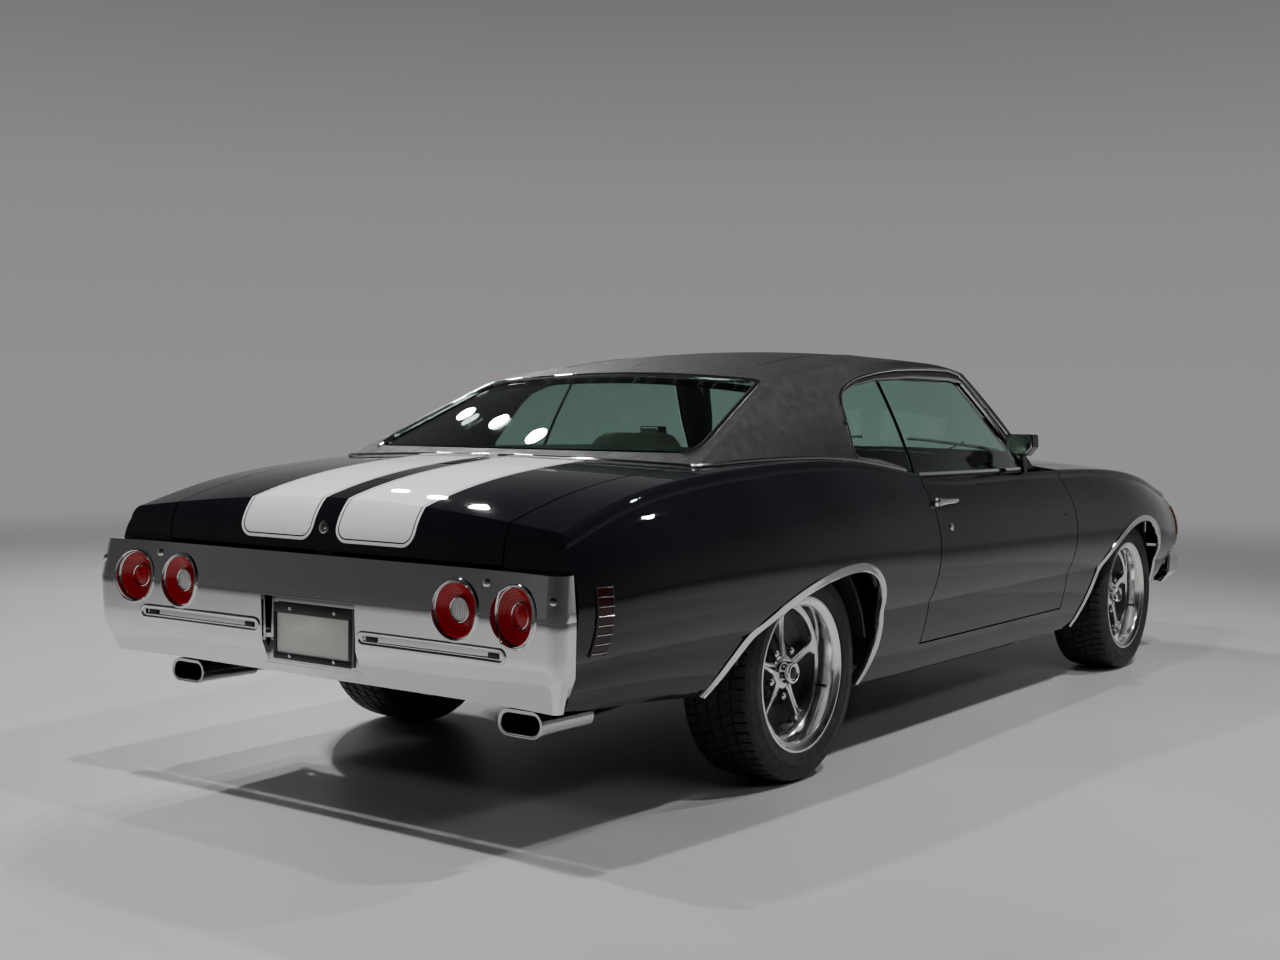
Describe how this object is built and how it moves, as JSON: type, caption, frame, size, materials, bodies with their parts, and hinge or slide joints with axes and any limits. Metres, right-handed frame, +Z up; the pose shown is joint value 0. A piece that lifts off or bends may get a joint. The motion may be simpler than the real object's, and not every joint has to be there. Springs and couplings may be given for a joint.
{
  "type": "muscle car",
  "caption": "Two-door black muscle car coupe with a vinyl roof, deck stripes, chrome bumpers, spoked road wheels, opening doors, hood and boot lid.",
  "frame": {"origin": "on the floor, at the centre of the car's plan box", "axes": "+X forward, +Y to the car's left, +Z up"},
  "size_m": [5.0164, 1.9122, 1.3496],
  "materials": {
    "vinyl": "grained black vinyl",
    "glass": "green-tinted",
    "paint": "gloss black",
    "chrome": "polished",
    "lamp_red": "red lens",
    "lamp_clear": "clear lens",
    "plate": "blank plate",
    "underbody": "satin black",
    "iron": "painted castings",
    "steel": "stainless",
    "trim": "parchment upholstery",
    "dash": "satin black",
    "tyre": "rubber",
    "wheel": "polished with dark pockets"
  },
  "bodies": {
    "body": {"roof": "vinyl", "windshield": "glass", "rear_window": "glass", "quarter_glass": "glass", "cowl_panel": "paint", "deck_panel": "paint", "nose_panel": "paint", "quarter_panels": "paint", "rockers": "paint", "fenders": "paint", "rear_bumper": "chrome", "front_bumper": "chrome", "grille": "chrome", "tail_lamps": "lamp_red", "headlamps": "lamp_clear", "number_plate": "plate", "door_hinges": "underbody", "driveshaft": "underbody", "inner_fenders": "underbody", "floor_pan": "underbody", "inner_sides": "underbody", "frame": "underbody", "front_arms": "underbody", "fuel_tank": "underbody", "rear_axle": "underbody", "engine_block": "iron", "exhaust": "steel", "front_seats": "trim", "rear_seat": "trim", "dashboard": "dash"},
    "door_left": {"door_left": "paint", "door_glass_left": "glass", "door_mirror_left": "paint", "door_handle_left": "chrome"},
    "door_right": {"door_right": "paint", "door_glass_right": "glass", "door_mirror_right": "paint", "door_handle_right": "chrome"},
    "hood": {"hood": "paint"},
    "boot_lid": {"boot_lid": "paint"},
    "steering_wheel": {"steering_wheel": "dash"},
    "knuckle_left": {"knuckle_left": "underbody"},
    "knuckle_right": {"knuckle_right": "underbody"},
    "wheel_front_left": {"tyre_front_left": "tyre", "rim_front_left": "wheel"},
    "wheel_front_right": {"tyre_front_right": "tyre", "rim_front_right": "wheel"},
    "wheel_rear_left": {"tyre_rear_left": "tyre", "rim_rear_left": "wheel"},
    "wheel_rear_right": {"tyre_rear_right": "tyre", "rim_rear_right": "wheel"}
  },
  "joints": [
    {"name": "door_left", "type": "hinge", "parent": "body", "child": "door_left", "pos_m": [0.68, 0.895, 0.6], "axis": [0, 0, -1], "range_deg": [0, 62]},
    {"name": "door_right", "type": "hinge", "parent": "body", "child": "door_right", "pos_m": [0.68, -0.895, 0.6], "axis": [0, 0, 1], "range_deg": [0, 62]},
    {"name": "hood", "type": "hinge", "parent": "body", "child": "hood", "pos_m": [0.87, 0, 0.961], "axis": [0, 1, 0], "range_deg": [-48, 0]},
    {"name": "boot_lid", "type": "hinge", "parent": "body", "child": "boot_lid", "pos_m": [-1.7, 0, 0.967], "axis": [0, 1, 0], "range_deg": [0, 62]},
    {"name": "steer_left", "type": "hinge", "parent": "body", "child": "knuckle_left", "pos_m": [1.552, 0.64, 0.327], "axis": [0, 0, 1], "range_deg": [-33, 33]},
    {"name": "steer_right", "type": "hinge", "parent": "body", "child": "knuckle_right", "pos_m": [1.552, -0.64, 0.327], "axis": [0, 0, 1], "range_deg": [-33, 33]},
    {"name": "steering_wheel", "type": "hinge", "parent": "body", "child": "steering_wheel", "pos_m": [0.262, 0.345, 0.842], "axis": [-0.936, 0, 0.3519], "range_deg": [-396, 396]},
    {"name": "wheel_front_left", "type": "hinge", "parent": "knuckle_left", "child": "wheel_front_left", "pos_m": [1.552, 0.754, 0.327], "axis": [0, 1, 0], "continuous": true},
    {"name": "wheel_front_right", "type": "hinge", "parent": "knuckle_right", "child": "wheel_front_right", "pos_m": [1.552, -0.754, 0.327], "axis": [0, 1, 0], "continuous": true},
    {"name": "wheel_rear_left", "type": "hinge", "parent": "body", "child": "wheel_rear_left", "pos_m": [-1.293, 0.754, 0.327], "axis": [0, 1, 0], "continuous": true},
    {"name": "wheel_rear_right", "type": "hinge", "parent": "body", "child": "wheel_rear_right", "pos_m": [-1.293, -0.754, 0.327], "axis": [0, 1, 0], "continuous": true}
  ],
  "couplings": [
    {"joint": "steer_right", "follows": "steer_left", "ratio": 1},
    {"joint": "steering_wheel", "follows": "steer_left", "ratio": 12}
  ]
}
